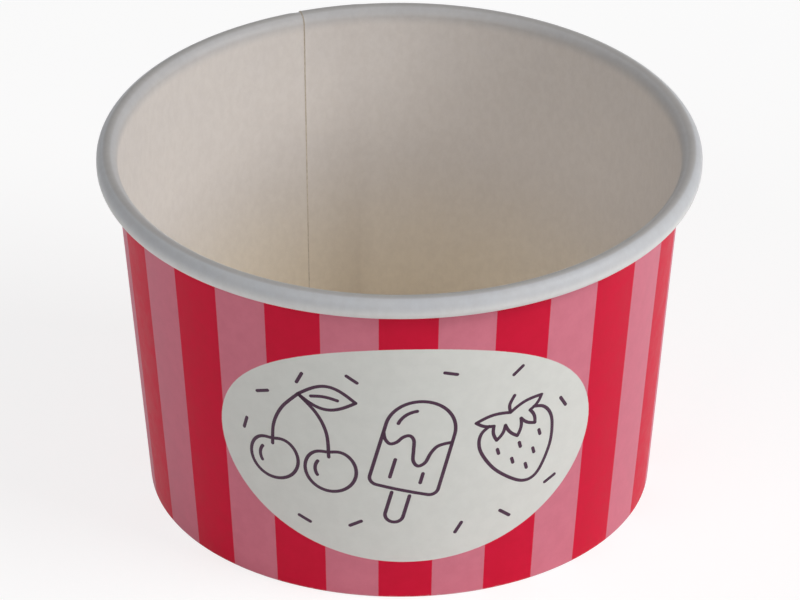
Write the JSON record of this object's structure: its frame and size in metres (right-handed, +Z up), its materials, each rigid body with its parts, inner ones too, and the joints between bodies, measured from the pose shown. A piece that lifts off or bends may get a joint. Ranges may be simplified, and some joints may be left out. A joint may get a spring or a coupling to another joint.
{
  "type": "paper ice cream cup",
  "caption": "Round tapered paper ice cream cup with an outward rolled rim, a lapped side seam and a recessed base, printed with red and pink stripes around a pale panel.",
  "frame": {"origin": "centre of the plane that the foot rests on", "axes": "+Z up along the cup's axis; the printed panel faces -Y"},
  "size_m": [0.09, 0.09, 0.0554],
  "materials": {
    "printed_board": "satin",
    "plain_board": "satin"
  },
  "bodies": {
    "root": {"side_wall": "printed_board", "base_disc": "plain_board"}
  },
  "joints": []
}
